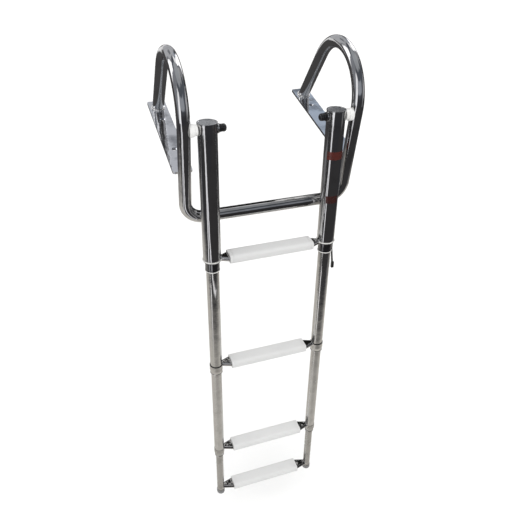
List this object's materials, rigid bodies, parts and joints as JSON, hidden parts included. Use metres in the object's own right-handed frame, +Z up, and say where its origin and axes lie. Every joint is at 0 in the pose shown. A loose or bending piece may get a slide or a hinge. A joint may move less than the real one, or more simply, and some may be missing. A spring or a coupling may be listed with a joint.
{
  "type": "telescopic boat ladder",
  "caption": "Telescopic boarding ladder of nested steel tubes with four plastic steps, hinged between two handrail hoops on deck plates.",
  "frame": {"origin": "middle of the left deck plate's underside, where it rests on the deck", "axes": "+Z up, +X from the left rail to the right rail, +Y inboard over the deck; the ladder hangs outboard towards -Y"},
  "size_m": [0.3906, 0.5413, 1.1387],
  "materials": {
    "polished_steel": "mirror polished",
    "white_plastic": "satin",
    "black_plastic": "satin",
    "grey_rubber": "matt",
    "black_rubber": "matt"
  },
  "bodies": {
    "handrail_frame": {"crossbar": "polished_steel", "left_deck_plate": "polished_steel", "left_foot_weld": "polished_steel", "left_handrail": "polished_steel", "left_nut_cap": "black_plastic", "left_pivot_pin": "polished_steel", "left_pivot_spacer": "white_plastic", "left_pivot_washer": "polished_steel", "right_deck_plate": "polished_steel", "right_foot_weld": "polished_steel", "right_handrail": "polished_steel", "right_nut_cap": "black_plastic", "right_pivot_pin": "polished_steel", "right_pivot_spacer": "white_plastic", "right_pivot_washer": "polished_steel"},
    "section_1": {"left_ferrule_1": "polished_steel", "left_outer_tube": "polished_steel", "left_top_cap": "polished_steel", "retaining_strap": "black_rubber", "right_ferrule_1": "polished_steel", "right_outer_tube": "polished_steel", "right_top_cap": "polished_steel", "step_1_bar": "polished_steel", "step_1_tread": "white_plastic"},
    "section_2": {"left_ferrule_2": "polished_steel", "left_guide_bush": "black_plastic", "left_tube_2": "polished_steel", "right_ferrule_2": "polished_steel", "right_guide_bush": "black_plastic", "right_tube_2": "polished_steel", "step_2_bar": "polished_steel", "step_2_tread": "white_plastic"},
    "section_3": {"left_ferrule_3": "polished_steel", "left_tube_3": "polished_steel", "right_ferrule_3": "polished_steel", "right_tube_3": "polished_steel", "step_3_bar": "polished_steel", "step_3_tread": "white_plastic"},
    "section_4": {"left_foot_cap": "grey_rubber", "left_tube_4": "polished_steel", "right_foot_cap": "grey_rubber", "right_tube_4": "polished_steel", "step_4_bar": "polished_steel", "step_4_tread": "white_plastic"}
  },
  "joints": [
    {"name": "ladder_swing", "type": "hinge", "parent": "handrail_frame", "child": "section_1", "pos_m": [0.1755, -0.13974, 0.0978], "axis": [-1, 0, 0], "range_deg": [0, 250]},
    {"name": "section_2_slide", "type": "slide", "parent": "section_1", "child": "section_2", "axis": [0, 0.2392, 0.971], "range_m": [0, 0.245]},
    {"name": "section_3_slide", "type": "slide", "parent": "section_2", "child": "section_3", "axis": [0, 0.2392, 0.971], "range_m": [0, 0.245]},
    {"name": "section_4_slide", "type": "slide", "parent": "section_3", "child": "section_4", "axis": [0, 0.2392, 0.971], "range_m": [-0.131, 0.114]}
  ]
}
